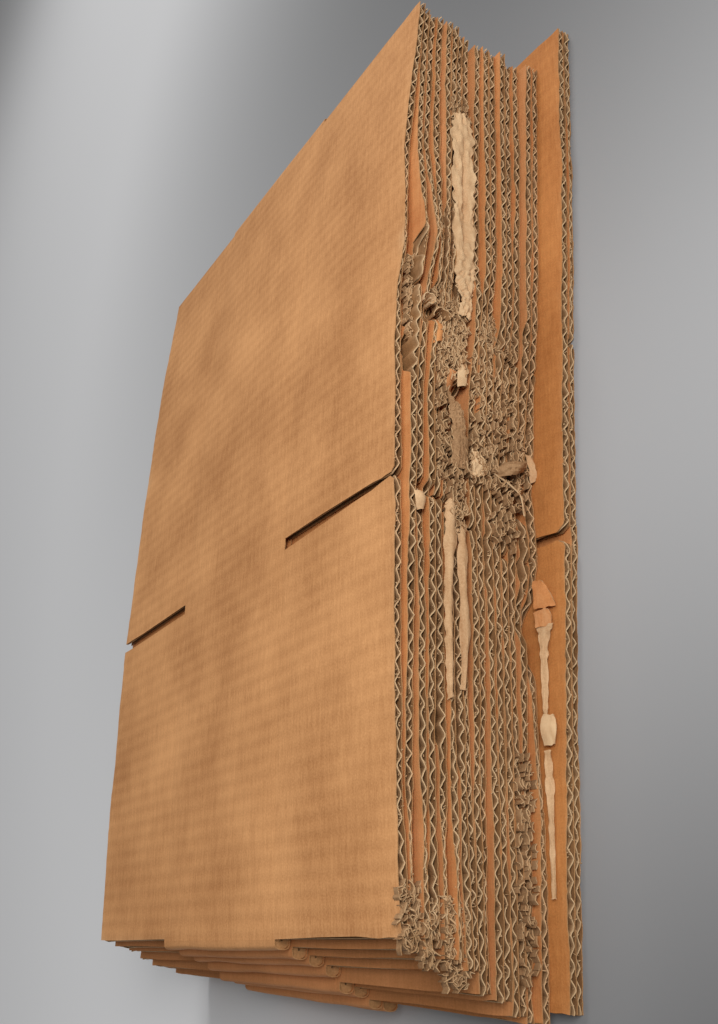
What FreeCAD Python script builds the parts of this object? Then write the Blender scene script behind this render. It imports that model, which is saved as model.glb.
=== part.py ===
import FreeCAD, Part
import os
from FreeCAD import Vector

# Stack of flattened corrugated boxes, lying on its broad side.
# X runs along the flutes, from flap end to flap end. Y runs along the flattened tube, fold to fold.
# Z is up. The origin is the middle of the underside of the bottom box. Millimetres.

doc = FreeCAD.newDocument("flattened_boxes")
sheet = doc.addObject("Spreadsheet::Sheet", "sheet")


def put_sizes(column, sizes):
    """Write the named sizes down one column of the sheet, each with its alias."""
    for row, (alias, size) in enumerate(sizes.items(), start=1):
        sheet.set(f"{column}{row}", str(size))
        sheet.setAlias(f"{column}{row}", alias)


# One box: two long and two short panels in a tube, flutes across the tube, flaps at both ends.
put_sizes("A", {
    "panel_short": 187.0,
    "panel_long": 283.0,
    "flap_depth": 104.0,
    "body_depth": 130.0,
    "slot_width": 6.0,
    "fold_relief": 4.5,
    "lower_mouth_wear": 8.0,
    "upper_mouth_wear": 4.5,
    "crease_width": 3.0,
    "crease_depth": 0.3,
    "score_width": 3.0,
    "score_dip": 0.4,
})

# The corrugated board and how closely its layers lie.
put_sizes("B", {
    "board_caliper": 3.85,
    "liner": 0.5,
    "medium": 0.5,
    "flute_pitch": 7.8,
    "flute_crest": 1.1,
    "fold_land": 4.0,
    "fold_crush": 4.0,
    "score_crush": 6.5,
    "board_gap": 0.15,
    "stack_gap": 0.15,
    "bow_height": 9.5,
    "bow_reach": 250.0,
    "cutter_spare": 1.0,
})

# Each box from the top down: how far it lies across and along from the bottom box, how far it is
# turned in its own plane, in degrees, and how much longer it is, shared by its two panels.
STACK = {
    "top_box": (-21.5, 9.7, 0.0, 0.0),
    "second_box": (-20.3, 6.4, -0.1, 0.0),
    "third_box": (-18.7, 3.8, -0.4, 0.0),
    "fourth_box": (-19.2, -0.2, -0.2, 0.0),
    "fifth_box": (-18.3, -5.9, -0.9, 0.0),
    "sixth_box": (-17.8, -7.4, -1.15, 0.0),
    "seventh_box": (-17.2, -11.6, -1.5, 0.0),
    "eighth_box": (-15.4, -12.2, -2.05, 0.0),
    "bottom_box": (0.0, 0.0, -2.95, 12.0),
}
BOX_NAMES = list(STACK)
BOX_COUNT = len(BOX_NAMES)
BOARD_COUNT = 2 * BOX_COUNT

for column, name in zip("CDEFGHIJK", BOX_NAMES):
    across, along, turn, spare_length = STACK[name]
    put_sizes(column, {
        f"{name}_across": across,
        f"{name}_along": along,
        f"{name}_turn": turn,
        f"{name}_spare_length": spare_length,
    })
doc.recompute()


def size(alias):
    return float(sheet.get(alias))


def level(name):
    """How many boxes lie under this one."""
    return BOX_COUNT - 1 - BOX_NAMES.index(name)


def box_length(name):
    return size("panel_short") + size("panel_long") + size(f"{name}_spare_length")


def box_width():
    return 2 * size("flap_depth") + size("body_depth")


class Board:
    """One of a box's two boards: its number from the bottom of the stack and its curve."""

    def __init__(self, name, upper):
        self.upper = upper
        self.number = 2 * level(name) + (1 if upper else 0)
        self.rise = size("bow_height") * self.number / (BOARD_COUNT - 1)
        self.centre = -size(f"{name}_along")
        self.seat = size("board_caliper") + size("board_gap") if upper else 0.0

    def lift(self, y):
        """The stack is fuller in the middle of its length than at its folds."""
        return self.rise * (1 - ((y - self.centre) / size("bow_reach")) ** 2)

    def point(self, y, height):
        return Vector(0, y, self.seat + self.lift(y) + height)

    def curve(self, y_from, y_to, height):
        """A bowed line in the board, at one height above its underside."""
        middle = (y_from + y_to) / 2
        points = [self.point(y, height) for y in (y_from, middle, y_to)]
        if self.rise == 0:
            return Part.LineSegment(points[0], points[2]).toShape()
        return Part.Arc(*points).toShape()


def score_place(name, upper):
    """Short and long panel meet at opposite ends of the two boards."""
    end = box_length(name) / 2 - size("panel_short") - size(f"{name}_spare_length") / 2
    return -end if upper else end


def straight(start, end):
    return Part.LineSegment(start, end).toShape()


def round_fold(start, nose, end):
    return Part.Arc(start, nose, end).toShape()


def outline(name, lower, upper):
    """The tube's outer line: two bowed faces, each with its panel score, and two round folds."""
    half = box_length(name) / 2
    nose = size("board_caliper") + size("board_gap") / 2
    inset = half - nose
    half_score = size("score_width") / 2
    lower_score = score_place(name, False)
    upper_score = score_place(name, True)
    caliper = size("board_caliper")
    dip = size("score_dip")

    lower_dip = lower.point(lower_score, dip)
    upper_dip = upper.point(upper_score, caliper - dip)
    fold_height = nose + lower.lift(half)
    other_height = nose + lower.lift(-half)

    edges = [
        lower.curve(-inset, lower_score - half_score, 0),
        straight(lower.point(lower_score - half_score, 0), lower_dip),
        straight(lower_dip, lower.point(lower_score + half_score, 0)),
        lower.curve(lower_score + half_score, inset, 0),
        round_fold(lower.point(inset, 0), Vector(0, half, fold_height), upper.point(inset, caliper)),
        upper.curve(inset, upper_score + half_score, caliper),
        straight(upper.point(upper_score + half_score, caliper), upper_dip),
        straight(upper_dip, upper.point(upper_score - half_score, caliper)),
        upper.curve(upper_score - half_score, -inset, caliper),
        round_fold(upper.point(-inset, caliper), Vector(0, -half, other_height), lower.point(-inset, 0)),
    ]
    return Part.Wire(edges)


def gap_between_boards(name, lower, upper):
    """The thin space inside the flattened tube, from fold to fold."""
    reach = box_length(name) / 2 - size("fold_land")
    caliper = size("board_caliper")
    edges = [
        lower.curve(-reach, reach, caliper),
        straight(lower.point(reach, caliper), upper.point(reach, 0)),
        upper.curve(reach, -reach, 0),
        straight(upper.point(-reach, 0), lower.point(-reach, caliper)),
    ]
    return Part.Wire(edges)


def flute_channels(name, board):
    """The air channels on both sides of the fluted medium. They are crushed flat at folds and scores."""
    pitch = size("flute_pitch")
    floor_height = size("liner")
    roof_height = size("board_caliper") - size("liner")
    crest = size("flute_crest") / 2
    foot = pitch / 2 - size("medium")
    web = size("medium")
    reach = box_length(name) / 2 - size("fold_land") - size("fold_crush")
    score = score_place(name, board.upper)
    flutes = int(2 * reach / pitch)
    start = -flutes * pitch / 2

    wires = []
    for index in range(2 * flutes - 1):
        middle = start + (index + 1) * pitch / 2
        if abs(middle - score) < size("score_crush") + foot:
            continue
        if index % 2 == 0:
            wide, narrow = floor_height, roof_height - web
        else:
            wide, narrow = roof_height, floor_height + web
        corners = [
            board.point(middle - foot, wide),
            board.point(middle + foot, wide),
            board.point(middle + crest, narrow),
            board.point(middle - crest, narrow),
        ]
        wires.append(Part.makePolygon(corners + corners[:1]))
    return wires


def folded_tube(name):
    """The whole flattened tube before its slots are cut: one section, carried from flap to flap."""
    lower = Board(name, upper=False)
    upper = Board(name, upper=True)
    holes = [gap_between_boards(name, lower, upper)]
    holes += flute_channels(name, lower)
    holes += flute_channels(name, upper)
    section = Part.makeFace([outline(name, lower, upper)] + holes, "Part::FaceMakerBullseye")
    section.translate(Vector(-box_width() / 2, 0, 0))
    return section.extrude(Vector(box_width(), 0, 0))


def flap_creases(name):
    """Shallow grooves on both outer faces, where the flaps fold, following the bow."""
    lower = Board(name, upper=False)
    upper = Board(name, upper=True)
    half = box_length(name) / 2
    width = size("crease_width")
    depth = size("crease_depth")
    spare = size("cutter_spare")
    caliper = size("board_caliper")
    grooves = []
    for side in (-1, 1):
        start = side * size("body_depth") / 2 - width / 2
        for board, inner, outer in ((lower, depth, -spare), (upper, caliper - depth, caliper + spare)):
            edges = [
                board.curve(-half, half, inner),
                straight(board.point(half, inner), board.point(half, outer)),
                board.curve(half, -half, outer),
                straight(board.point(-half, outer), board.point(-half, inner)),
            ]
            section = Part.Face(Part.Wire(edges))
            section.translate(Vector(start, 0, 0))
            grooves.append(section.extrude(Vector(width, 0, 0)))
    return Part.makeCompound(grooves)


def lift_text(number, y_text, name):
    """The same bow as Board.lift, as an expression on the sheet."""
    share = f"(sheet.bow_height * {number} / {BOARD_COUNT - 1})"
    return f"({share} * (1 - (({y_text} + sheet.{name}_along) / sheet.bow_reach) ^ 2))"


def cutter(label, sizes):
    """A cutting block whose three sizes and place are bound to the sheet."""
    block = doc.addObject("Part::Box", label)
    block.Label = label
    for prop, text in sizes.items():
        block.setExpression(prop, text)
    return block


def slot_cutters(name):
    """The four slots between panels: one at each flap end of each board.

    On the handled side, handling has worn the mouths round.
    """
    length_text = f"(sheet.panel_short + sheet.panel_long + sheet.{name}_spare_length)"
    number = 2 * level(name)
    blocks = []
    for board_name, sign, is_upper in (("lower", "", False), ("upper", "-", True)):
        score_text = f"({sign}({length_text} / 2 - sheet.panel_short - sheet.{name}_spare_length / 2))"
        low = lift_text(number, score_text, name)
        high = lift_text(number + 1, score_text, name)
        parting = f"(sheet.board_caliper + sheet.board_gap / 2 + ({low} + {high}) / 2)"
        bottom = parting if is_upper else f"({low} - sheet.cutter_spare)"
        height = "sheet.board_caliper + 2 * sheet.cutter_spare" if is_upper else f"{parting} - {bottom}"
        for side in ("left", "right"):
            x_text = "sheet.body_depth / 2"
            if side == "left":
                x_text = "-sheet.body_depth / 2 - sheet.flap_depth - sheet.cutter_spare"
            blocks.append(cutter(f"{name}_{board_name}_{side}_slot", {
                "Length": "sheet.flap_depth + sheet.cutter_spare",
                "Width": "sheet.slot_width",
                "Height": height,
                "Placement.Base.x": x_text,
                "Placement.Base.y": f"{score_text} - sheet.slot_width / 2",
                "Placement.Base.z": bottom,
            }))
        mouth = doc.addObject("Part::Cylinder", f"{name}_{board_name}_mouth")
        mouth.Label = mouth.Name
        mouth.setExpression("Radius", f"sheet.{board_name}_mouth_wear")
        mouth.setExpression("Height", height)
        mouth.setExpression("Placement.Base.x", "sheet.body_depth / 2 + sheet.flap_depth")
        mouth.setExpression("Placement.Base.y", score_text)
        mouth.setExpression("Placement.Base.z", bottom)
        blocks.append(mouth)
    return blocks


def fold_cutters(name):
    """Half a slot at each corner, where the slot falls on a fold. It frees the two flaps there."""
    length_text = f"(sheet.panel_short + sheet.panel_long + sheet.{name}_spare_length)"
    blocks = []
    for end in ("near", "far"):
        y_text = f"{length_text} / 2 - sheet.fold_relief"
        if end == "near":
            y_text = f"-{length_text} / 2 - sheet.cutter_spare"
        for side in ("left", "right"):
            x_text = "sheet.body_depth / 2"
            if side == "left":
                x_text = "-sheet.body_depth / 2 - sheet.flap_depth - sheet.cutter_spare"
            blocks.append(cutter(f"{name}_{end}_{side}_relief", {
                "Length": "sheet.flap_depth + sheet.cutter_spare",
                "Width": "sheet.fold_relief + sheet.cutter_spare",
                "Height": "2 * sheet.board_caliper + 2 * sheet.bow_height + 2 * sheet.cutter_spare",
                "Placement.Base.x": x_text,
                "Placement.Base.y": y_text,
                "Placement.Base.z": "-sheet.cutter_spare",
            }))
    return blocks


def flattened_box(name):
    """One box: the folded tube, less its slots, fold corners and flap creases, laid in the stack."""
    tube = doc.addObject("Part::Feature", f"{name}_tube")
    tube.Shape = folded_tube(name)
    tube.Placement = FreeCAD.Placement()

    creases = doc.addObject("Part::Feature", f"{name}_creases")
    creases.Shape = flap_creases(name)
    creases.Placement = FreeCAD.Placement()

    creased = doc.addObject("Part::Cut", f"{name}_creased_tube")
    creased.Base = tube
    creased.Tool = creases

    cuts = doc.addObject("Part::MultiFuse", f"{name}_cuts")
    cuts.Shapes = slot_cutters(name) + fold_cutters(name)

    box = doc.addObject("Part::Cut", name)
    box.Label = name
    box.Base = creased
    box.Tool = cuts
    box.setExpression("Placement.Base.x", f"sheet.{name}_across")
    box.setExpression("Placement.Base.y", f"sheet.{name}_along")
    layer = "(2 * sheet.board_caliper + sheet.board_gap + sheet.stack_gap)"
    box.setExpression("Placement.Base.z", f"{level(name)} * {layer}")
    box.Placement.Rotation.Axis = Vector(0, 0, 1)
    box.setExpression("Placement.Rotation.Angle", f"sheet.{name}_turn")
    return box


boxes = [flattened_box(name) for name in BOX_NAMES]
doc.recompute()

for item in doc.Objects:
    if "Invalid" in item.State or "Error" in item.State:
        raise RuntimeError(f"{item.Label} failed: {item.State}")
for box in boxes:
    if box.Shape.isNull() or not box.Shape.isValid():
        raise RuntimeError(f"{box.Label} has a bad shape")
    if len(box.Shape.Solids) != 1:
        raise RuntimeError(f"{box.Label} is {len(box.Shape.Solids)} solids, not one")

os.makedirs("parts", exist_ok=True)
for box in boxes:
    box.Shape.exportStep(f"parts/{box.Label}.step")
    bounds = box.Shape.BoundBox
    lows = [round(low, 1) for low in (bounds.XMin, bounds.YMin, bounds.ZMin)]
    highs = [round(high, 1) for high in (bounds.XMax, bounds.YMax, bounds.ZMax)]
    print(box.Label, len(box.Shape.Faces), "faces,", round(box.Shape.Volume / 1000), "cm3,", lows, highs)
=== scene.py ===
import math

import bpy
import numpy as np
from mathutils import Matrix, Vector


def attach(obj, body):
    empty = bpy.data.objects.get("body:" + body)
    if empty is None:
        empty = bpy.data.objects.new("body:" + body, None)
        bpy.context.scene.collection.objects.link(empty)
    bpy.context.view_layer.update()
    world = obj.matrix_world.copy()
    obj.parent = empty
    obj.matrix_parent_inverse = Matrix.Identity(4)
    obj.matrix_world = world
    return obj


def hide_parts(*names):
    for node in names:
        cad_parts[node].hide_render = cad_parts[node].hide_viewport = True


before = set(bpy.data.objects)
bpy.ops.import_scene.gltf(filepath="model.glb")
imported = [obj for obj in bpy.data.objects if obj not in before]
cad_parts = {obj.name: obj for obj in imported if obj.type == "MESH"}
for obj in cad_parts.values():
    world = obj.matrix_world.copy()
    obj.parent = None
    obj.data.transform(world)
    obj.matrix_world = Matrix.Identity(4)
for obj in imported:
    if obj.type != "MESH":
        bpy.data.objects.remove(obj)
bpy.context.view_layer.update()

bpy.ops.object.select_all(action="DESELECT")


# Kraft paper: brown unbleached pulp, rolled into the liners that face the board on both sides.
# To the eye it is dull and slightly mottled, with short fibres, and the flutes beneath show as
# a faint washboard. Where it is torn, cut or rubbed, the paler core of the paper shows as fuzz.
def linear(hex_colour):
    """A colour written as sRGB hex, as the linear values that a shader takes."""
    channels = [int(hex_colour[i:i + 2], 16) / 255 for i in (1, 3, 5)]
    return [c / 12.92 if c <= 0.04045 else ((c + 0.055) / 1.055) ** 2.4 for c in channels] + [1]


def add_node(material, kind, settings=None, inputs=None):
    """Adds a node, sets its properties, and sets or links its inputs."""
    node = material.node_tree.nodes.new(kind)
    for key, setting in (settings or {}).items():
        setattr(node, key, setting)
    for key, given in (inputs or {}).items():
        if isinstance(given, bpy.types.NodeSocket):
            material.node_tree.links.new(given, node.inputs[key])
        else:
            node.inputs[key].default_value = given
    return node


def new_material(name):
    material = bpy.data.materials.new(name)
    material.use_nodes = True
    return material, material.node_tree.nodes["Principled BSDF"]


FLUTE_PITCH = 7.8
GRAIN_SIZE = 0.9
FIBRE_LENGTH = 5.0
BLOTCH_SIZE = 70.0
WASHBOARD_PATCH = 45.0
TORN_CORE = "#DDBB90"


def per_metre(size_mm):
    """The scale of a pattern on Object coordinates whose features are this many millimetres."""
    return 1000 / size_mm


def kraft_paper(name, light, dark, washboard, relief, core=TORN_CORE):
    """Paper with grain, short fibres along the machine direction, blotches and a faint washboard.

    The wear attribute says how far its surface is rubbed or torn down to the paler core.
    """
    material, shader = new_material(name)
    place = add_node(material, "ShaderNodeTexCoord").outputs["Object"]
    blotches = add_node(material, "ShaderNodeTexNoise", inputs={
        "Vector": place, "Scale": per_metre(BLOTCH_SIZE), "Detail": 3.0, "Roughness": 0.55})
    grain = add_node(material, "ShaderNodeTexNoise", inputs={
        "Vector": place, "Scale": per_metre(GRAIN_SIZE), "Detail": 2.0, "Roughness": 0.6})
    stretched = add_node(material, "ShaderNodeMapping", inputs={
        "Vector": place, "Scale": (3.0, 0.35, 1.0)})
    fibres = add_node(material, "ShaderNodeTexNoise", inputs={
        "Vector": stretched.outputs["Vector"], "Scale": per_metre(FIBRE_LENGTH), "Detail": 4.0,
        "Roughness": 0.7})
    cross = add_node(material, "ShaderNodeSeparateXYZ", inputs={"Vector": place})
    turns = add_node(material, "ShaderNodeMath", {"operation": "MULTIPLY"}, {
        0: cross.outputs["Y"], 1: 2 * math.pi * per_metre(FLUTE_PITCH)})
    ridges = add_node(material, "ShaderNodeMath", {"operation": "SINE"}, {0: turns.outputs[0]})
    uneven = add_node(material, "ShaderNodeTexNoise", inputs={
        "Vector": place, "Scale": per_metre(WASHBOARD_PATCH), "Detail": 2.0})
    ridge = add_node(material, "ShaderNodeMath", {"operation": "MULTIPLY"}, {
        0: ridges.outputs[0], 1: uneven.outputs["Fac"]})

    mix = add_node(material, "ShaderNodeMath", {"operation": "MULTIPLY"}, {
        0: grain.outputs["Fac"], 1: 0.45})
    mix = add_node(material, "ShaderNodeMath", {"operation": "MULTIPLY_ADD"}, {
        0: fibres.outputs["Fac"], 1: 0.5, 2: mix.outputs[0]})
    mix = add_node(material, "ShaderNodeMath", {"operation": "MULTIPLY_ADD"}, {
        0: blotches.outputs["Fac"], 1: 0.9, 2: mix.outputs[0]})
    mix = add_node(material, "ShaderNodeMath", {"operation": "MULTIPLY_ADD"}, {
        0: ridge.outputs[0], 1: washboard, 2: mix.outputs[0]})
    tone = add_node(material, "ShaderNodeMapRange", inputs={
        "Value": mix.outputs[0], "From Min": 0.68, "From Max": 1.18})
    paper = add_node(material, "ShaderNodeMix", {"data_type": "RGBA"}, {
        0: tone.outputs[0], 6: linear(dark), 7: linear(light)})

    wear = add_node(material, "ShaderNodeAttribute", {"attribute_name": "wear"})
    patchy = add_node(material, "ShaderNodeMath", {"operation": "MULTIPLY_ADD"}, {
        0: fibres.outputs["Fac"], 1: 1.2, 2: -0.6})
    rubbed = add_node(material, "ShaderNodeMath", {"operation": "ADD"}, {
        0: wear.outputs["Fac"], 1: patchy.outputs[0]})
    bare = add_node(material, "ShaderNodeMath", {"operation": "MULTIPLY", "use_clamp": True}, {
        0: rubbed.outputs[0], 1: wear.outputs["Fac"]})
    colour = add_node(material, "ShaderNodeMix", {"data_type": "RGBA"}, {
        0: bare.outputs[0], 6: paper.outputs[2], 7: linear(core)})
    material.node_tree.links.new(colour.outputs[2], shader.inputs["Base Color"])

    shader.inputs["Roughness"].default_value = 0.78
    shader.inputs["Specular IOR Level"].default_value = 0.25
    height = add_node(material, "ShaderNodeMath", {"operation": "MULTIPLY"}, {
        0: ridge.outputs[0], 1: relief})
    height = add_node(material, "ShaderNodeMath", {"operation": "MULTIPLY_ADD"}, {
        0: grain.outputs["Fac"], 1: 0.12, 2: height.outputs[0]})
    height = add_node(material, "ShaderNodeMath", {"operation": "MULTIPLY_ADD"}, {
        0: fibres.outputs["Fac"], 1: 0.1, 2: height.outputs[0]})
    bump = add_node(material, "ShaderNodeBump", inputs={
        "Height": height.outputs[0], "Distance": 0.001, "Strength": 0.8})
    material.node_tree.links.new(bump.outputs["Normal"], shader.inputs["Normal"])
    return material


top_face = kraft_paper("kraft_liner", "#E2A56C", "#B37A49", washboard=0.07, relief=0.12)
# The liners under the top board are a darker, more orange copy of the top liner: partly their own tone and
# partly painted shade of the recesses between the boards.
liner_face_painted_shade = kraft_paper("kraft_liner_under_painted_shade", "#D38F5A", "#B37543", washboard=0.05, relief=0.10)
inner_face = kraft_paper("kraft_liner_inside", "#D99459", "#B7703D", washboard=0.05, relief=0.10)
# The lowest box's face is darker too: partly its own tone and partly painted shade where the stack stands
# over it.
bottom_face_painted_shade = kraft_paper("kraft_liner_lowest_painted_shade", "#D18C4E", "#AB6A35", washboard=0.05, relief=0.08)
# The fluting paper is darker than the liners: partly the recycled medium's own grey-brown tone and partly
# painted shade of the flute channels.
fluting = kraft_paper("fluting_paper_painted_shade", "#A07449", "#6E4A2B", washboard=0.0, relief=0.0, core="#C8A47C")
crushed_medium = kraft_paper("crushed_fluting", "#B58D64", "#7F5B3B", washboard=0.0, relief=0.0)
cut_liner = kraft_paper("cut_liner_edge", "#C89563", "#93673D", washboard=0.0, relief=0.0)
cut_medium = kraft_paper("cut_fluting_edge", "#D3AF84", "#9F774E", washboard=0.0, relief=0.0)
torn_paper = kraft_paper("torn_kraft", "#D9B186", "#A97C52", washboard=0.0, relief=0.0)


# The nine flattened boxes: each is one tube of single-wall corrugated board, creased and slotted,
# pressed flat and laid on the next. Its liners and its fluted medium are glued papers, and the flap
# ends are cut across the flutes, where handling has frayed and crushed them.
MM = 0.001
CALIPER = 3.85
LINER = 0.4
MEDIUM_PAPER = 0.5
BOARD_GAP = 0.15
LAYER = 8.0
BOW_HEIGHT = 9.5
BOW_REACH = 250.0
PANEL_SHORT = 187.0
PANEL_LONG = 283.0
BODY_HALF = 65.0
FLAP_END = 169.0
SLOT_HALF = 3.0
RELIEF = 4.5
BOX_COUNT = 9
BOARD_COUNT = 18

# Each box from the top down: across, along, turn in degrees, and how much longer than the others.
STACK = {
    "top_box": (-21.5, 9.7, 0.0, 0.0),
    "second_box": (-20.3, 6.4, -0.1, 0.0),
    "third_box": (-18.7, 3.8, -0.4, 0.0),
    "fourth_box": (-19.2, -0.2, -0.2, 0.0),
    "fifth_box": (-18.3, -5.9, -0.9, 0.0),
    "sixth_box": (-17.8, -7.4, -1.15, 0.0),
    "seventh_box": (-17.2, -11.6, -1.5, 0.0),
    "eighth_box": (-15.4, -12.2, -2.05, 0.0),
    "bottom_box": (0.0, 0.0, -2.95, 12.0),
}

# How far each board's cut edge stands out of line on the photographed side, in millimetres, at
# these places along the stack, from the top board down.
EDGE_PLACES = (-172, -90, -55, -27, 4, 60, 82, 142, 210)
EDGE_LINES = (
    (-4.5, -3.0, -3.0, -3.0, -4.0, -5.5, -1.0, -4.5, 0.0),
    (-4.5, 0.0, 1.5, 2.5, 2.0, 6.0, 11.0, 0.5, -1.5),
    (-2.0, 0.0, -1.5, -0.5, -1.5, 5.0, 12.5, -1.5, -3.5),
    (-2.5, 1.0, 1.5, 1.5, 0.5, 7.0, 8.0, 1.0, -2.0),
    (-2.0, -1.0, -2.0, -2.0, -3.0, 2.5, 5.5, 2.5, -1.5),
    (0.0, 0.0, -2.5, -3.5, -4.5, 0.5, 3.5, 1.5, -2.0),
    (-0.5, -1.0, -5.0, -5.0, -4.5, 1.5, 1.0, 1.5, -2.5),
    (-2.5, -3.0, -3.5, -5.0, -5.0, -1.0, 2.0, -0.5, -2.5),
    (-2.0, -0.5, -2.0, -2.5, -2.0, 4.0, 1.0, 0.0, -1.0),
    (-4.5, -2.0, -3.5, -2.5, 1.0, 1.5, 5.0, 3.5, 0.5),
    (-1.5, -2.0, -2.0, -3.0, -0.5, -0.5, 2.0, 1.5, -1.0),
    (-2.5, -2.5, -3.0, -4.0, -2.0, 4.0, 5.0, 4.0, 2.5),
    (-2.0, -3.5, -4.0, -5.0, -3.5, 1.5, 1.5, 1.0, -0.5),
    (-3.0, -5.0, -3.0, -4.5, -1.0, 1.0, 1.5, 2.5, 1.0),
    (-3.5, -4.5, -1.5, -4.5, -3.0, 2.0, 2.5, 3.0, 3.0),
    (1.0, -6.0, -1.5, -4.5, -3.0, 1.0, 2.0, 2.5, 3.0),
    (0.0, 1.0, 1.5, 1.0, 1.0, 2.0, 2.0, 2.5, 1.0),
    (-1.0, -1.0, 0.5, 0.0, 0.0, 1.0, 1.5, 2.0, 0.5),
)

# Where the cut ends are crushed: board from the top down, place along the stack, half length, and
# the share of the thickness that is left.
CRUSHED = (
    (0, 90, 45, 0.45), (1, 75, 32, 0.35), (2, 75, 40, 0.55), (3, 62, 45, 0.5), (4, 45, 70, 0.5),
    (5, 40, 80, 0.5), (6, 60, 70, 0.4), (7, 70, 60, 0.4), (9, 25, 30, 0.8), (5, -100, 60, 0.7),
    (7, -110, 60, 0.6),
    (15, -150, 40, 0.5), (1, -190, 18, 0.4), (2, -190, 20, 0.5), (4, -200, 22, 0.4),
    (5, -205, 20, 0.4), (9, -210, 20, 0.5), (17, 120, 90, 0.6),
)

# Pockets in the cut face: board from the top down, place along the stack, half length, depth.
POCKETS = (
    (2, 46, 6, 4.0), (3, 46, 6, 9.0), (4, 42, 6, 8.0), (5, 130, 16, 6.0), (5, 2, 9, 9.0),
    (6, 0, 11, 12.0), (7, -2, 14, 12.0), (12, 37, 3, 8.0), (11, 38, 2.5, 3.0), (12, -31, 4, 7.0),
    (13, -32, 5, 10.0), (14, -31, 8, 9.0), (6, -50, 4, 10.0), (7, -50, 5, 9.0), (5, -47, 3, 5.0),
    (15, -92, 14, 7.0), (14, -84, 10, 4.0), (3, -44, 3, 5.0),
)

# Where a board's upper liner is torn off short of the cut: board from the top down, low and high
# place along the stack, and how far back the tear lies.
TORN_LINERS = (
    (1, 12, 84, 10.0), (4, 22, 104, 4.0), (5, 15, 108, 4.0), (6, 10, 100, 4.0), (3, -235, -195, 4.0),
    (9, -70, 50, 1.6), (10, -80, 60, 2.2), (11, -75, 48, 1.8), (12, -60, 30, 1.5), (13, -85, 55, 2.4),
    (14, -70, 58, 2.4), (15, -60, 50, 2.0), (4, -150, -60, 2.0), (6, -160, -60, 2.0),
)

# How far the two flaps lean together at each slot's mouth, from the top board down, as a share of
# the slot's width, and how round the mouth's corners are worn, in millimetres.
SLOT_CLOSED = (0.85, 0.8, 0.55, 0.0, 0.8, 0.6, 0.6, 0.5, 0.9, 1.0, 1.0, 1.0, 0.8, 0.9, 1.0, 1.0, 0.3, 0.9)
MOUTH_WEAR = (2.5, 2.0, 2.5, 5.0, 1.5, 2.0, 2.0, 3.0, 1.5, 1.5, 1.5, 1.5, 2.5, 2.5, 2.0, 1.5, 5.0, 3.0)


def wander(seed, y, spacing, size):
    """A smooth random line along y: knots this far apart, up to this size each way."""
    rng = np.random.default_rng(seed)
    knots = rng.uniform(-size, size, 4 + int(600 / spacing))
    place = (np.asarray(y, float) + 290) / spacing
    low = np.clip(np.floor(place).astype(int), 0, len(knots) - 2)
    part = np.clip(place - low, 0, 1)
    part = part * part * (3 - 2 * part)
    return knots[low] * (1 - part) + knots[low + 1] * part


def between(y, low, high, soft):
    """1 where y lies between two places, falling softly to 0 outside them."""
    return 1 / (1 + np.exp(-(y - low) / soft)) / (1 + np.exp(-(high - y) / soft))


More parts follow.
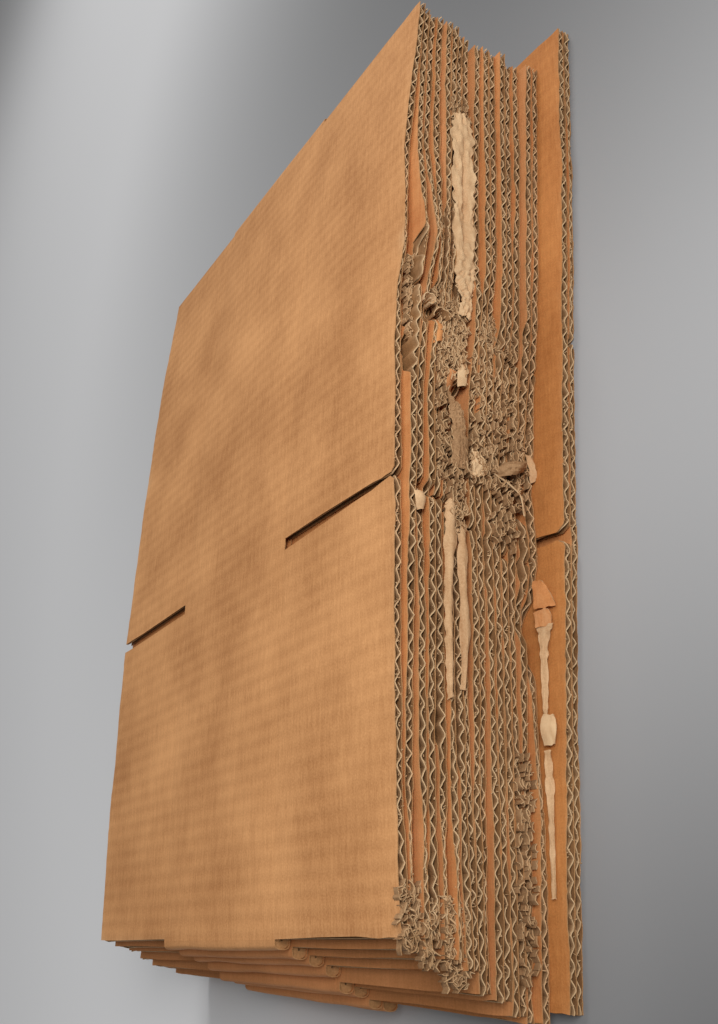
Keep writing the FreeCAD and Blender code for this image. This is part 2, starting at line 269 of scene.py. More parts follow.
class Board:
    """One of a box's two boards: where it lies, how it bows and how its cut ends are worn."""

    def __init__(self, box, upper):
        order = list(STACK).index(box)
        across, along, turn, spare = STACK[box]
        self.box = box
        self.upper = upper
        self.level = BOX_COUNT - 1 - order
        self.number = 2 * self.level + (1 if upper else 0)
        self.rank = BOARD_COUNT - 1 - self.number
        self.across = across
        self.along = along
        self.turn = math.radians(turn)
        self.half = (PANEL_SHORT + PANEL_LONG + spare) / 2
        self.score = (-1 if upper else 1) * (self.half - PANEL_SHORT - spare / 2)
        self.base = self.level * LAYER + (CALIPER + BOARD_GAP if upper else 0)
        self.seed = 1000 * (self.number + 1)

    def outer_face(self):
        # The boards below the top one, and the lowest box, take liners darkened partly by painted shade.
        return {0: top_face, 16: bottom_face_painted_shade, 17: bottom_face_painted_shade}.get(self.rank, liner_face_painted_shade)

    def lift(self, y):
        rise = BOW_HEIGHT * self.number / (BOARD_COUNT - 1)
        return rise * (1 - ((y + self.along) / BOW_REACH) ** 2)

    def edge(self, side, y):
        """How far out the cut end lies at y, on one side: its own line, its wear and its pockets."""
        if side < 0:
            return FLAP_END - 1.0 + wander(self.seed + 7, y, 60, 1.5)
        out_of_line = np.interp(y + self.along, EDGE_PLACES, EDGE_LINES[self.rank])
        wear = MOUTH_WEAR[self.rank]
        away = np.clip(np.abs(y - self.score) - SLOT_HALF, 0, wear)
        reach = FLAP_END + out_of_line - (wear - np.sqrt(wear ** 2 - (wear - away) ** 2))
        for rank, middle, half_length, depth in POCKETS:
            if rank == self.rank:
                reach = reach - depth * np.exp(-((y + self.along - middle) / half_length) ** 4)
        return reach

    def torn_back(self, y):
        """How far back from the cut its upper liner is torn off."""
        back = 0 * y
        for rank, low, high, depth in TORN_LINERS:
            if rank == self.rank:
                ragged = 1 + wander(self.seed + 31, y, 3.0, 0.25) + wander(self.seed + 32, y, 9.0, 0.3)
                back = back + depth * between(y + self.along, low, high, 1.0) * ragged
        return back

    def thickness_left(self, side, y):
        """The share of the board's thickness that is left at its cut end."""
        left = 1 - 0.12 * np.abs(wander(self.seed + 9, y, 35, 1.0))
        if side > 0:
            for rank, middle, reach, share in CRUSHED:
                if rank == self.rank:
                    depth = np.exp(-((y + self.along - middle) / reach) ** 4)
                    left = left * (1 - (1 - share) * depth)
        return left

    def lean(self, side, share, y):
        """How far a flap leans towards the slot beside it."""
        if side < 0:
            return 0 * y
        away = y - self.score
        closing = SLOT_CLOSED[self.rank] * (SLOT_HALF - 0.2) * share ** 3
        return -np.sign(away) * closing * np.exp(-(np.abs(away) - SLOT_HALF) / 14)

    def place(self, x, y, height):
        """A point of the board, in metres in the frame."""
        z = self.base + self.lift(y) + height
        world_x = self.across + x * math.cos(self.turn) - y * math.sin(self.turn)
        world_y = self.along + x * math.sin(self.turn) + y * math.cos(self.turn)
        return np.stack([world_x, world_y, z], axis=-1) * MM


def paper_sheet(name, columns, ys, place, thickness, face, rim, back=None):
    """A sheet of paper: a grid laid by place(columns, ys), which is then given its thickness.

    place gives the points and how worn the paper is at each.
    """
    bpy.ops.mesh.primitive_grid_add(x_subdivisions=len(columns) - 1, y_subdivisions=len(ys) - 1, size=1)
    sheet = bpy.context.object
    sheet.name = name
    flat = np.zeros(len(sheet.data.vertices) * 3)
    sheet.data.vertices.foreach_get("co", flat)
    flat = flat.reshape(-1, 3)
    column = np.rint((flat[:, 0] + 0.5) * (len(columns) - 1)).astype(int)
    row = np.rint((flat[:, 1] + 0.5) * (len(ys) - 1)).astype(int)
    laid, worn = place(np.asarray(columns, float)[column], np.asarray(ys, float)[row])
    sheet.data.vertices.foreach_set("co", laid.ravel())
    wear = sheet.data.attributes.new("wear", "FLOAT", "POINT")
    wear.data.foreach_set("value", np.clip(worn + 0 * laid[:, 0], 0, 1).astype(np.float32))
    sheet.data.materials.append(face)
    sheet.data.materials.append(rim)
    sheet.data.materials.append(back or face)
    wall = sheet.modifiers.new("thickness", "SOLIDIFY")
    wall.thickness = thickness * MM
    wall.offset = 0
    wall.material_offset_rim = 1
    wall.material_offset = 2
    bpy.ops.object.modifier_apply(modifier=wall.name)
    return sheet


LINER_SHARES = (0.0, 0.03, 0.4, 0.7, 0.85, 0.92, 0.96, 0.985, 1.0)
MEDIUM_SHARES = (0.0, 0.75, 0.9, 0.96, 0.985, 1.0)
HIDDEN_LINER_SHARES = (0.0, 0.03, 0.7, 0.9, 1.0)
HIDDEN_MEDIUM_SHARES = (0.0, 0.75, 0.93, 1.0)
OUTER, INNER, MEDIUM = "outer", "inner", "medium"
TUCK = 1.5
CREASE_DEPTH = 0.15
SCORE_DEPTH = 0.25
CREASE_WIDTH = 1.6
SCORE_WIDTH = 1.5
FILLER_THICKNESS = 3.2
FOLD_BULGE = 0.8
FLAKE_THICKNESS = 0.2
SMOOTH_ANGLE = 40


def flap_sheet(board, side, low, high, layer):
    """One paper of one flap: outer liner, inner liner or fluted medium."""
    seed = board.seed + (10 if side > 0 else 20) + {OUTER: 1, INNER: 2, MEDIUM: 3}[layer]
    seed += 100 if low > board.score else 0
    middle = CALIPER / 2
    is_top = (layer == OUTER) == board.upper
    spread = middle - LINER / 2
    swing = spread - LINER / 2 - MEDIUM_PAPER / 2

    def place(share, y):
        reach = board.edge(side, y)
        if side > 0 and layer != MEDIUM and is_top:
            reach = reach - board.torn_back(y)
        near_end = np.clip((share - 0.7) / 0.3, 0, 1)
        squash = 1 - (1 - board.thickness_left(side, y)) * near_end ** 0.7
        fray = wander(seed, y, 2.3, 0.4) + wander(seed + 1, y, 14, 0.5)
        start = BODY_HALF - TUCK
        x = start + share * (reach - start) + fray * near_end ** 2
        worn = 0.25 * near_end ** 8
        if layer == MEDIUM:
            if side > 0 and board.rank == 1:
                x = x - near_end ** 2 * 8 * np.exp(-((y + board.along - 77) / 5) ** 4)
            phase = 2 * np.pi * (y / FLUTE_PITCH) + wander(seed + 2, y, 40, 0.6)
            zigzag = np.arcsin(0.97 * np.sin(phase)) / math.asin(0.97)
            crush = 1 - near_end * np.abs(wander(seed + 3, y, 9, 0.3))
            height = middle + swing * zigzag * crush
            height = height + near_end * wander(seed + 6, y, 22, 0.25)
            x = x + near_end ** 2 * wander(seed + 8, y, 1.1, 0.35)
            y = y + near_end * wander(seed + 4, y, 12, 0.8)
            worn = 0.8 * near_end ** 14
        else:
            height = middle + (spread if is_top else -spread)
            height = height + near_end ** 2 * wander(seed + 5, y, 18, 0.35)
            if is_top and side > 0:
                height = height + 1.3 * near_end ** 6 * (board.torn_back(y) > 4) * between(y, 70, 80, 2)
            crease = np.exp(-((x - BODY_HALF) / CREASE_WIDTH) ** 2) + 0.35 * (share < 0.02)
            if layer == OUTER:
                height = height - (CREASE_DEPTH if is_top else -CREASE_DEPTH) * crease
            if board.rank == 0 and layer == OUTER:
                spot = np.exp(-((y + board.along - 84) / 8) ** 2) * near_end ** 3
                lower_edge = np.exp(-(y - low) / 2.0) * (low < -200)
                worn = worn + 0.35 * spot + 0.3 * lower_edge
        height = middle + (height - middle) * squash
        end_rag = wander(seed + 12, x, 5, 0.5) * (np.exp(-(y - low) / 1.5) + np.exp(-(high - y) / 1.5))
        y = y + board.lean(side, share, y) + end_rag
        return board.place(side * x, y, height), worn

    if side > 0:
        shares = MEDIUM_SHARES if layer == MEDIUM else LINER_SHARES
        step = FLUTE_PITCH / 8 if layer == MEDIUM else FLUTE_PITCH / 4
    else:
        shares = HIDDEN_MEDIUM_SHARES if layer == MEDIUM else HIDDEN_LINER_SHARES
        step = FLUTE_PITCH / 6 if layer == MEDIUM else FLUTE_PITCH / 2
    count = max(2, int(round((high - low) / step)))
    ys = np.linspace(low, high, count + 1)
    if layer == MEDIUM:
        return paper_sheet("flap", shares, ys, place, MEDIUM_PAPER, fluting, cut_medium)
    face = board.outer_face() if layer == OUTER else inner_face
    # The liner's face towards the flutes takes the fluting paper, so the flute channels show its painted
    # shade.
    front, back = (face, fluting) if is_top == (side > 0) else (fluting, face)
    return paper_sheet("flap", shares, ys, place, LINER, front, cut_liner, back)


def body_sheet(board, layer):
    """One liner of the panels between the flap creases, with the score across it."""
    middle = CALIPER / 2
    is_top = (layer == OUTER) == board.upper
    spread = middle - LINER / 2
    nose = CALIPER + BOARD_GAP / 2
    reach = board.half - (nose if layer == OUTER else RELIEF)

    def place(x, y):
        height = middle + (spread if is_top else -spread) + 0 * x
        if layer == OUTER:
            crease = CREASE_DEPTH * np.exp(-((np.abs(x) - BODY_HALF) / CREASE_WIDTH) ** 2)
            score = SCORE_DEPTH * np.exp(-((y - board.score) / SCORE_WIDTH) ** 2)
            height = height - (1 if is_top else -1) * np.maximum(crease, score)
        return board.place(x, y, height), 0.0

    columns = (-65.0, -64.0, -62.0, -30.0, 0.0, 30.0, 62.0, 64.0, 65.0)
    ys = np.unique(np.concatenate([
        np.linspace(-reach, reach, 50), board.score + np.array([-3.0, -1.5, -0.7, 0, 0.7, 1.5, 3.0])]))
    face = board.outer_face() if layer == OUTER else inner_face
    return paper_sheet("body", columns, ys, place, LINER, face, cut_liner)


def fold_sheet(lower, upper, end, within):
    """The rounded fold that joins the two boards: its outer liner, or the crushed papers within."""
    nose = CALIPER + BOARD_GAP / 2
    inset = lower.half - nose - 1.0
    gap_height = upper.base - lower.base
    seed = lower.seed + (51 if end > 0 else 52)
    thickness = FILLER_THICKNESS if within else LINER
    flattened = 0.55 if within else 1.0

    def place(x, angle):
        bulge = (nose + FOLD_BULGE) * np.cos(angle) ** 0.35
        if within:
            bulge = 0.62 * bulge
        y = end * (inset + bulge) + end * wander(seed, x, 28, 0.45)
        share = 0.5 + 0.5 * flattened * np.sin(angle)
        low = LINER / 2 + lower.lift(y)
        high = gap_height + CALIPER - LINER / 2 + upper.lift(y)
        height = low + share * (high - low) - lower.lift(y)
        worn = (0.0 if within else 0.2) * np.cos(angle) ** 3
        return lower.place(x, y, height), worn

    columns = np.linspace(-64.8, 64.8, 30) * (0.985 if within else 1.0)
    angles = np.linspace(-math.pi / 2, math.pi / 2, 11)
    face = crushed_medium if within else upper.outer_face()
    return paper_sheet("fold", columns, angles, place, thickness, face, cut_liner)


def smooth_line(points, share):
    """A smooth line through points in millimetres, read at a share of the way along."""
    points = np.asarray(points, float)
    place = share * (len(points) - 1)
    low = np.clip(np.floor(place).astype(int), 0, len(points) - 2)
    part = (place - low)[:, None]
    before = points[np.maximum(low - 1, 0)]
    start = points[low]
    end = points[low + 1]
    after = points[np.minimum(low + 2, len(points) - 1)]
    straight = 2 * start + (end - before) * part
    bend = (2 * before - 5 * start + 4 * end - after) * part ** 2
    twist = (3 * start - before - 3 * end + after) * part ** 3
    return 0.5 * (straight + bend + twist)


def crumple(seed, a, b, size):
    """An uneven, creased surface from 0 to 1 over two lengths in millimetres."""
    rng = np.random.default_rng(seed)
    total = 0.0
    weights = 0.0
    for scale in (size, size / 1.7, size / 2.9):
        for _ in range(3):
            angle, phase = rng.uniform(0, 2 * np.pi, 2)
            run = (a * np.cos(angle) + b * np.sin(angle)) * np.pi / scale + phase
            run = run + 0.8 * np.sin(b * 1.3 / scale + phase) + 0.8 * np.sin(a * 1.1 / scale - phase)
            total = total + scale / size * np.abs(np.sin(run))
            weights = weights + scale / size
    return total / weights


# The hollow of a torn strip, as shares of its width and its length.
HOLLOW_WIDTH = 0.16
HOLLOW_STRETCH = (0.2, 0.5)


def torn_strip(seed, left, right, bulge=0.0, groove=0.0, rough=0.0, fold_size=5.0, ragged=0.5,
               grain=0.9, thickness=0.5, worn=0.8, face=torn_paper):
    """A torn piece of paper between two lines of points, in millimetres in the frame."""
    left = np.asarray(left, float)
    right = np.asarray(right, float)
    length = max(np.linalg.norm(np.diff(left, axis=0), axis=1).sum(), 3.0)
    width = max(np.linalg.norm(left - right, axis=1).max(), 1.5)
    rows = int(np.clip(length / grain, 8, 150))
    columns = int(np.clip(width / grain, 4, 40))

    def place(across, along):
        start = smooth_line(left, along)
        point = start + (smooth_line(right, along) - start) * across[:, None]
        a = across * width
        b = along * length
        side = np.where(across < 0.5, -1.0, 1.0)
        rag = wander(seed, b, 2.2, ragged) + wander(seed + 3, b, 8, ragged)
        point[:, 2] += -side * rag * np.abs(2 * across - 1) ** 3
        point[:, 1] += wander(seed + 1, a, 2.0, ragged) * (np.abs(2 * along - 1) ** 8)
        folds = crumple(seed + 2, a, 0.45 * b, fold_size)
        point[:, 0] += bulge * np.sin(np.pi * across) + rough * (folds - 0.5)
        stretch = between(along, *HOLLOW_STRETCH, 0.03)
        point[:, 0] -= groove * np.exp(-((across - 0.5 - 0.1 * folds) / HOLLOW_WIDTH) ** 2) * stretch
        hollow = np.exp(-((across - 0.55) / HOLLOW_WIDTH) ** 2) * stretch
        return point * MM, worn * (0.35 + 0.9 * folds) - 0.12 * groove * hollow

    return paper_sheet("torn", np.linspace(0, 1, columns + 1), np.linspace(0, 1, rows + 1), place,
                       thickness, face, cut_medium)


def rolled_strip(seed, inner_end, outer_end, radii, turns, worn=0.7, face=torn_paper, squash=1.0):
    """A curl of torn liner, rolled about a line of two points, from one angle to another.

    Angles are in degrees from the stack's +Y, towards its -Z. A radius is given for each end.
    """
    axis_start = np.asarray(inner_end, float)
    axis_end = np.asarray(outer_end, float)

    def place(along, angle):
        point = axis_start + (axis_end - axis_start) * along[:, None]
        spiral = 1 - 0.25 * (angle - turns[0]) / (turns[1] - turns[0])
        radius = (radii[0] + (radii[1] - radii[0]) * along) * spiral
        radius = radius + wander(seed, 20 * along, 3, 0.15)
        turn = np.radians(angle)
        point[:, 1] += radius * np.cos(turn) * squash
        point[:, 2] -= radius * np.sin(turn)
        point[:, 0] += wander(seed + 1, angle / 4, 5, 0.8) * along
        return point * MM, worn + 0 * angle

    return paper_sheet("curl", np.linspace(0, 1, 9), np.linspace(*turns, 22), place, 0.45, face, cut_medium)


def loose_mesh(name, points, faces, worn, materials, face_material):
    """A piece of many small closed shapes, from their corners and faces."""
    mesh = bpy.data.meshes.new(name)
    mesh.from_pydata(points.reshape(-1, 3).tolist(), [], faces)
    for material in materials:
        mesh.materials.append(material)
    mesh.polygons.foreach_set("material_index", face_material)
    wear = mesh.attributes.new("wear", "FLOAT", "POINT")
    wear.data.foreach_set("value", worn.astype(np.float32))
    piece = bpy.data.objects.new(name, mesh)
    bpy.context.collection.objects.link(piece)
    return piece


SHRED_FACES = [(i, i + 1, i + 5, i + 4) for i in range(3)]
SHRED_FACES += [(i + 8, i + 12, i + 13, i + 9) for i in range(3)]
SHRED_FACES += [(i, i + 8, i + 9, i + 1) for i in range(3)]
SHRED_FACES += [(i + 4, i + 5, i + 13, i + 12) for i in range(3)]
SHRED_FACES += [(0, 4, 12, 8), (3, 11, 15, 7)]
SHRED_MATERIALS = [0] * 6 + [1] * 3 + [0] * 5


def crushed_flutes(seed, x, y_low, y_high, z_low, z_high, density=0.45, length=3.6, spread=0.6, tilt=0.35):
    """Crushed fluting seen on end: many short curved walls of paper, pressed together."""
    rng = np.random.default_rng(seed)
    count = int(abs(y_high - y_low) * abs(z_high - z_low) * density)
    y = rng.uniform(y_low, y_high, count)
    z = rng.uniform(z_low, z_high, count)
    side_in = 0.8 + wander(seed + 1, y, 6, 0.8)
    keep = (z < z_high - side_in + 0.8) & (z > z_low + side_in - 0.8)
    y, z = y[keep], z[keep]
    count = len(y)
    middle = 1 - np.abs(2 * (y - y_low) / (y_high - y_low) - 1) ** 4
    front = x + 0.8 * middle - 0.8 + rng.normal(0, spread, count) + wander(seed + 2, y, 8, 0.6)
    run = rng.normal(0, tilt, count)
    half = length * rng.uniform(0.3, 0.75, count)
    curl = rng.normal(0, 0.7, count)
    deep = rng.uniform(2.5, 4.5, count)
    thick = rng.uniform(0.16, 0.38, count)
    corners = np.zeros((count, 16, 3))
    for step in range(4):
        s = step / 1.5 - 1
        angle = run + curl * s * 0.5
        py = y + half * s * np.cos(angle) + 0.35 * curl * (s * s - 0.5) * -np.sin(run)
        pz = z + half * s * np.sin(angle) + 0.35 * curl * (s * s - 0.5) * np.cos(run)
        thin = thick * (1 - 0.4 * abs(s))
        wall_y, wall_z = -np.sin(angle) * thin, np.cos(angle) * thin
        front_here = front + rng.normal(0, 0.3, count)
        for offset, px, sign in ((0, front_here, 1), (4, front_here - deep, 1),
                                 (8, front_here, -1), (12, front_here - deep, -1)):
            corners[:, offset + step] = np.stack([px, py + sign * wall_y, pz + sign * wall_z], axis=-1)
    faces = [[16 * index + corner for corner in face] for index in range(count) for face in SHRED_FACES]
    worn = np.zeros((count, 16)) + rng.uniform(0.0, 0.5, (count, 1))
    worn[:, [4, 5, 6, 7, 12, 13, 14, 15]] = 0.0
    return loose_mesh("crushed", corners * MM, faces, worn.ravel(), (crushed_medium, cut_medium),
                      SHRED_MATERIALS * count)


def paper_flakes(board, count):
    """Small flakes of frayed paper, standing on the cut edge that handling has rubbed."""
    rng = np.random.default_rng(board.seed + 77)
    y = rng.uniform(-board.half + 6, board.half - 6, count)
    y = y[np.abs(y - board.score) > SLOT_HALF + 1.5]
    height = CALIPER / 2 + rng.uniform(-0.5, 0.5, len(y)) * (CALIPER - 0.6) * board.thickness_left(1, y)
    centre = board.place(board.edge(1, y) - 0.1, y, height)
    lengths = rng.uniform(0.5, 1.5, len(y)) * MM
    widths = rng.uniform(0.25, 0.6, len(y)) * MM
    along = rng.normal(size=(len(y), 3)) + np.array([0.4, 0.6, 0])
    along /= np.linalg.norm(along, axis=1)[:, None]
    across = np.cross(along, rng.normal(size=(len(y), 3)))
    across /= np.linalg.norm(across, axis=1)[:, None]
    normal = np.cross(along, across)
    corners = []
    for end, side, face in ((-1, -1, -1), (-1, 1, -1), (1, 0.4, -1), (1, -0.4, -1),
                            (-1, -1, 1), (-1, 1, 1), (1, 0.4, 1), (1, -0.4, 1)):
        corner = centre + along * (end * lengths / 2)[:, None] + across * (side * widths / 2)[:, None]
        corners.append(corner + normal * face * FLAKE_THICKNESS / 2 * MM)
    points = np.stack(corners, axis=1).reshape(-1, 3)
    sides = ((0, 1, 2, 3), (4, 7, 6, 5), (0, 4, 5, 1), (1, 5, 6, 2), (2, 6, 7, 3), (3, 7, 4, 0))
    faces = [[8 * index + corner for corner in side] for index in range(len(y)) for side in sides]
    worn = np.repeat(rng.uniform(0, 0.9, len(y)), 8)
    return loose_mesh("flakes", points, faces, worn, (cut_medium,), [0] * len(faces))


def top_box_tears():
    """Flutes laid bare and crushed below the tear, and the crushed corner at the near end."""
    return [
        crushed_flutes(101, 147, 30, 74, 68.5, 77.5, density=0.5),
        crushed_flutes(102, 145, -226, -203, 64, 75.5, density=0.4, tilt=0.8),
    ]


def second_box_tears():
    """Two curls of liner rolled out of the slot, with an orange piece inside, and a rounded tab."""
    return [
        rolled_strip(111, (139, 49, 69), (153.5, 49, 69), (2.6, 3.5), (-115, 120)),
        rolled_strip(112, (141, 48.3, 68.2), (153, 48.3, 68.2), (1.1, 1.5), (-60, 240), worn=0.9),
        # The piece inside the curls takes the fluting paper, darkened partly by painted shade.
        rolled_strip(113, (139, 41.5, 62.5), (154, 41.5, 62), (4.0, 5.0), (-100, 85), worn=0.4,
                     face=fluting),
        torn_strip(114, [(144, 46, 65), (150, 39, 65.5), (151, 28, 65.5)],
                   [(144, 45, 60.5), (151, 38, 60.5), (151, 30, 61.5)],
                   bulge=1.2, worn=0.1, face=inner_face),
        torn_strip(115, [(149.5, -47.5, 74), (150.5, -51, 74.5), (149.5, -56, 73)],
                   [(149, -46.5, 69.6), (150.5, -49.5, 68.7), (149, -54, 68.9)], bulge=1.4, worn=0.5),
        crushed_flutes(116, 146.5, -230, -208, 58, 66, density=0.4, tilt=0.8),
        crushed_flutes(117, 151, 56, 100, 64.5, 68.5, density=0.4),
    ]


def third_box_tears():
    """Crushed flutes, and two strips of liner peeled down below the slot."""
    return [
        crushed_flutes(121, 152, 48, 112, 56, 66.5, density=0.5),
        crushed_flutes(122, 151, 14, 56, 47, 63, density=0.5),
        crushed_flutes(126, 150.5, -36, 14, 56.5, 63, density=0.3),
        torn_strip(123, [(149, -47.5, 57.5), (149.7, -52, 58.6), (149.8, -65, 59.0), (149.8, -83, 59.3),
                         (149.8, -101, 58.9), (149.6, -117, 58.2), (149.4, -133, 57.3)],
                   [(149, -46, 55), (150, -49.5, 53.8), (150.3, -63, 53.8), (150.3, -82, 55.0),
                    (150.3, -100, 55.6), (150, -117, 55.2), (149.6, -133, 55.2)],
                   bulge=1.5, rough=1.4, ragged=0.6, worn=0.4),
        torn_strip(124, [(150.5, 17, 57.5), (149.5, 9, 58), (147, 2, 58)],
                   [(149.5, 18, 51.5), (145, 11, 52), (141, 5, 53)], bulge=1.0, worn=0.15, face=liner_face_painted_shade),
        torn_strip(125, [(149.5, 24.5, 51), (150.3, 17, 51.7), (149, 11, 51.2)],
                   [(149.5, 24.5, 49.5), (151, 19, 47.3), (149.5, 12, 46.9)], bulge=0.5, worn=0.8,
                   ragged=0.3),
    ]


def fourth_box_tears():
    """A broad piece of liner torn to its pale core, a curling leaf, and a peeled strip."""
    return [
        torn_strip(131, [(152.5, 168, 54), (153, 150, 56), (153.5, 119, 56.7), (154, 98, 56.7),
                         (154, 76, 56.2), (153.5, 62, 54.5), (153, 56, 52.7), (151.5, 47, 50.9)],
                   [(152.5, 168, 46), (153.5, 150, 44.3), (154, 119, 43.8), (154, 98, 43.8),
                    (154, 80, 44.0), (153.5, 70, 44.2), (153, 58, 44.6), (151.5, 47, 46.7)],
                   bulge=0.8, groove=3.0, rough=3.4, fold_size=4.5, ragged=1.1, worn=0.7),
        crushed_flutes(135, 152.5, 150, 178, 44, 56, density=0.3),
        torn_strip(132, [(150, 4.5, 58.3), (152, -6, 57.8), (152, -16, 56.8), (150.5, -32, 55)],
                   [(150.5, 4, 57.6), (153.5, -3, 52.8), (153.5, -12, 50), (150.5, -32, 48)],
                   bulge=1.2, rough=3.2, fold_size=2.0, ragged=0.8, grain=0.5, worn=0.1,
                   face=crushed_medium),
        crushed_flutes(136, 151.5, -60, -8, 48, 57, density=0.3),
        torn_strip(133, [(147, -54.5, 51.2), (148.5, -58, 52), (148.5, -65, 51.2), (148.5, -81, 51),
                         (148.5, -99, 50.3), (148.5, -116, 49.9), (148.3, -128, 50.3)],
                   [(147, -54, 47.6), (148.5, -57, 47.2), (149, -64, 47.4), (149, -80, 47.3),
                    (149, -98, 46.1), (149, -115, 46.9), (148.6, -128, 48.3)],
                   bulge=1.3, rough=1.2, ragged=0.5, worn=0.35),
        crushed_flutes(134, 147.5, -237, -206, 46, 57, density=0.45, tilt=0.8),
    ]


def fifth_box_tears():
    """Pale fluff torn out of the flutes beside the slot."""
    return [
        torn_strip(141, [(149, -20, 45), (149.5, -27, 44.7), (148, -33, 43.5)],
                   [(149, -18, 40.5), (150, -23, 37.5), (148.5, -29, 36.5)],
                   rough=3.0, fold_size=2.2, ragged=1.2, grain=0.6, worn=0.9),
        crushed_flutes(142, 152, 34, 54, 28.5, 41, density=0.5),
        crushed_flutes(143, 150, -34, -12, 30, 46, density=0.25),
        crushed_flutes(144, 151.5, -12, 34, 28.5, 44, density=0.1),
    ]


def sixth_box_tears():
    """The crushed seam of the slot, and a large curl of liner below it."""
    return [
        crushed_flutes(151, 152, 34, 54, 17, 29.5, density=0.5),
        crushed_flutes(154, 151.5, -16, 34, 17, 29.5, density=0.12),
        torn_strip(152, [(147, -24, 30.5), (151, -22, 27), (152.5, -20, 21), (150.5, -18, 15.5)],
                   [(147, -29, 30), (152.5, -28.5, 26.5), (153.5, -27, 22), (150.5, -23, 16.5)],
                   bulge=2.5, rough=3.0, fold_size=3.0, ragged=0.8, grain=0.6, worn=0.15,
                   face=crushed_medium),
        torn_strip(153, [(149, -27, 31.8), (150.5, -30.5, 25), (151, -35.5, 18), (150.5, -45, 15.6)],
                   [(149.5, -28, 31.2), (151, -31.6, 24.4), (151.5, -36.2, 18.6), (151, -45, 16.4)],
                   rough=0.2, ragged=0.15, worn=1.0),
        crushed_flutes(155, 150.5, -62, -30, 19, 33, density=0.15),
    ]


def seventh_box_tears():
    """Crushed flutes under the slot's curl and along the step down to the lowest box."""
    return [
        crushed_flutes(156, 150, -40, 30, 12.5, 20, density=0.15),
        crushed_flutes(157, 147.5, -235, -150, 12, 22, density=0.12),
    ]


def eighth_box_tears():
    """Small torn tabs beside the step down to the lowest box."""
    return [
        torn_strip(161, [(152.5, 47, 17), (153, 39, 16.6), (152, 35.5, 15)],
                   [(152.5, 49, 13), (153.5, 41, 11), (152.5, 36, 10.7)], worn=0.6),
        torn_strip(162, [(150, -13, 13.5), (150.5, -21, 12.5), (149.5, -27, 11.5)],
                   [(150, -13, 11), (151.5, -20, 8.8), (150.5, -25, 8)], worn=0.4),
        crushed_flutes(163, 150.5, -20, 50, 9.5, 16, density=0.15),
    ]


def bottom_box_scraps():
    """Scraps of torn liner that hang from the stack onto the lowest box's face."""
    return [
        torn_strip(171, [(150, -75, 12), (151, -81, 13), (151, -88, 12.5)],
                   [(156, -76, 12), (160, -83, 10.5), (160.5, -88, 8.9)], bulge=1.0, worn=0.2,
                   face=inner_face),
        torn_strip(172, [(150, -89, 12), (151, -92, 12.5), (151, -96, 12)],
                   [(158, -88.5, 11.5), (159, -92, 10), (157, -96, 9)], bulge=1.0, worn=0.4,
                   face=inner_face),
        torn_strip(173, [(150.5, -95, 11.5), (151.5, -103, 10.8), (151.5, -118, 10.4), (151.5, -135, 10.2)],
                   [(159, -95, 9.3), (155, -103, 9.3), (154, -118, 9.3), (153, -135, 9.3)],
                   rough=0.8, worn=0.5),
        torn_strip(174, [(151.5, -133, 10.5), (152, -139, 12.5), (152, -146, 11)],
                   [(157, -134, 9.3), (158.5, -139, 9.5), (157, -146, 9.3)], bulge=0.8, worn=0.9),
        torn_strip(175, [(151.5, -148, 10.5), (152, -170, 10.3), (152, -205, 10.0)],
                   [(154, -148, 9.3), (154.5, -170, 9.3), (153.5, -205, 9.2)], rough=0.5, worn=0.3),
    ]


TEARS = {
    "top_box": top_box_tears,
    "second_box": second_box_tears,
    "third_box": third_box_tears,
    "fourth_box": fourth_box_tears,
    "fifth_box": fifth_box_tears,
    "sixth_box": sixth_box_tears,
    "seventh_box": seventh_box_tears,
    "eighth_box": eighth_box_tears,
    "bottom_box": bottom_box_scraps,
}
FLAKES = 200


def build_box(name):
    """The papers of both boards, joined into one piece that stands for the box's solid."""
    sheets = []
    boards = [Board(name, upper=False), Board(name, upper=True)]
    for board in boards:
        end = board.half - RELIEF
        for side in (-1, 1):
            for low, high in ((-end, board.score - SLOT_HALF), (board.score + SLOT_HALF, end)):
                for layer in (OUTER, INNER, MEDIUM):
                    sheets.append(flap_sheet(board, side, low, high, layer))
        sheets.append(body_sheet(board, OUTER))
        sheets.append(body_sheet(board, INNER))
        sheets.append(paper_flakes(board, FLAKES))
    for end in (-1, 1):
        sheets.append(fold_sheet(*boards, end, within=False))
        sheets.append(fold_sheet(*boards, end, within=True))
    sheets += TEARS[name]()
    bpy.ops.object.select_all(action="DESELECT")
    for sheet in sheets:
        sheet.select_set(True)
    bpy.context.view_layer.objects.active = sheets[0]
    bpy.ops.object.join()
    box = bpy.context.object
    box.name = f"{name}_board"
    bpy.ops.object.shade_smooth_by_angle(angle=math.radians(SMOOTH_ANGLE))
    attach(box, "root")
    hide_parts(name)
    bpy.ops.object.select_all(action="DESELECT")
    return box


for box_name in STACK:
    build_box(box_name)


# The table is a pale grey surface with painted shade: a broad darker patch beyond the stack's far end on
# the side that the flap ends face, and a painted shadow off the stack's near end on that side. It is lit
# softly from beyond the stack's far end, and less from the side that the flap ends face. The camera stands
# off the flap ends, looks down on the stack and is rolled, so that the tubes' length runs up the picture.
FLOOR_HALF = 8.0
bpy.ops.mesh.primitive_plane_add(size=2 * FLOOR_HALF)
table = bpy.context.object
table.name = "table"
table_paint, table_shader = new_material("grey_table_painted_shade")
table_place = add_node(table_paint, "ShaderNodeTexCoord").outputs["Object"]
painted_table_shade = None
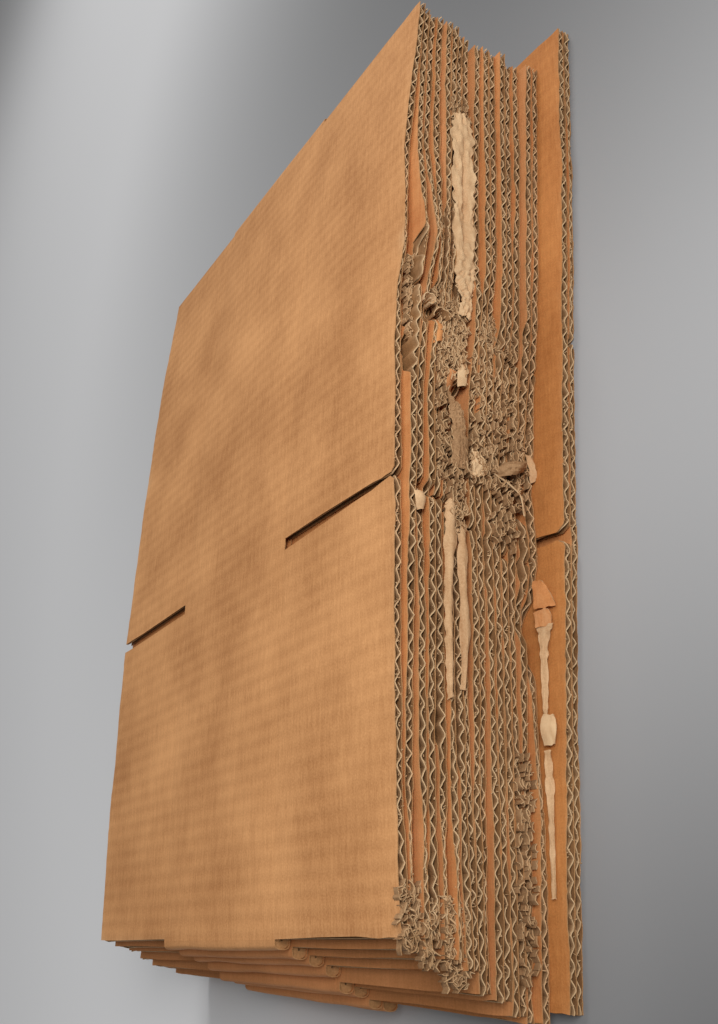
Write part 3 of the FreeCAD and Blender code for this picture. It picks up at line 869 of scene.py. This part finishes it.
# Painted shade on the table, each patch as its middle, reach in metres and depth: a broad one beyond the
# stack's far end, and a painted shadow off its near end, both on the flap-end side.
PAINTED_SHADE_PATCHES = (
    ((0.25, 0.5, 0.0), 1.1, 0.83),
    ((0.26, -0.33, 0.0), 0.4, 0.84),
)
for painted_shade_middle, painted_shade_reach, painted_shade_depth in PAINTED_SHADE_PATCHES:
    offset = add_node(table_paint, "ShaderNodeVectorMath", {"operation": "DISTANCE"}, {
        0: table_place, 1: painted_shade_middle})
    near = add_node(table_paint, "ShaderNodeMapRange", {"interpolation_type": "SMOOTHSTEP"}, {
        "Value": offset.outputs["Value"], "From Min": 0.0, "From Max": painted_shade_reach,
        "To Min": 1 - painted_shade_depth, "To Max": 1.0})
    if painted_table_shade is None:
        painted_table_shade = near
    else:
        painted_table_shade = add_node(table_paint, "ShaderNodeMath", {"operation": "MULTIPLY"}, {
            0: painted_table_shade.outputs[0], 1: near.outputs[0]})
# The table's pale grey, darkened towards black by the painted shade.
table_colour = add_node(table_paint, "ShaderNodeMix", {"data_type": "RGBA"}, {
    0: painted_table_shade.outputs[0], 6: linear("#000000"), 7: linear("#E8E8E9")})
table_paint.node_tree.links.new(table_colour.outputs[2], table_shader.inputs["Base Color"])
table_shader.inputs["Roughness"].default_value = 0.9
table_shader.inputs["Specular IOR Level"].default_value = 0.1
table.data.materials.append(table_paint)

CAMERA_PLACE = Vector((0.4834, -0.2315, 0.2954))
CAMERA_RIGHT = Vector((0.5151, 0.0308, -0.8564)).normalized()
CAMERA_AHEAD = Vector((-0.7923, 0.3986, -0.4624)).normalized()
CAMERA_UP = CAMERA_RIGHT.cross(CAMERA_AHEAD).normalized()
LENS = 36.9
bpy.ops.object.camera_add()
camera = bpy.context.object
camera.matrix_world = Matrix.Translation(CAMERA_PLACE) @ Matrix(
    (CAMERA_RIGHT, CAMERA_UP, -CAMERA_AHEAD)).transposed().to_4x4()
camera.data.lens = LENS
camera.data.sensor_width = 36.0
camera.data.clip_start = 0.01
camera.data.clip_end = 50.0
bpy.context.scene.camera = camera


def soft_lamp(name, place, target, size, power, colour="#FFFFFF"):
    bpy.ops.object.light_add(type="AREA", location=place)
    lamp = bpy.context.object
    lamp.name = name
    lamp.data.shape = "DISK"
    lamp.data.size = size
    lamp.data.energy = power
    lamp.data.color = linear(colour)[:3]
    lamp.rotation_euler = (Vector(target) - Vector(place)).to_track_quat("-Z", "Y").to_euler()
    return lamp


soft_lamp("window", (-0.2, 2.8, 2.4), (0, 0, 0), 1.6, 51)
soft_lamp("side_fill", (0.95, 0.0, 0.7), (0, 0, 0), 0.6, 9.5)

world = bpy.data.worlds.new("studio")
world.use_nodes = True
world.node_tree.nodes["Background"].inputs["Color"].default_value = linear("#FFFFFF")
world.node_tree.nodes["Background"].inputs["Strength"].default_value = 0.22
bpy.context.scene.world = world
bpy.context.scene.view_settings.view_transform = "Standard"
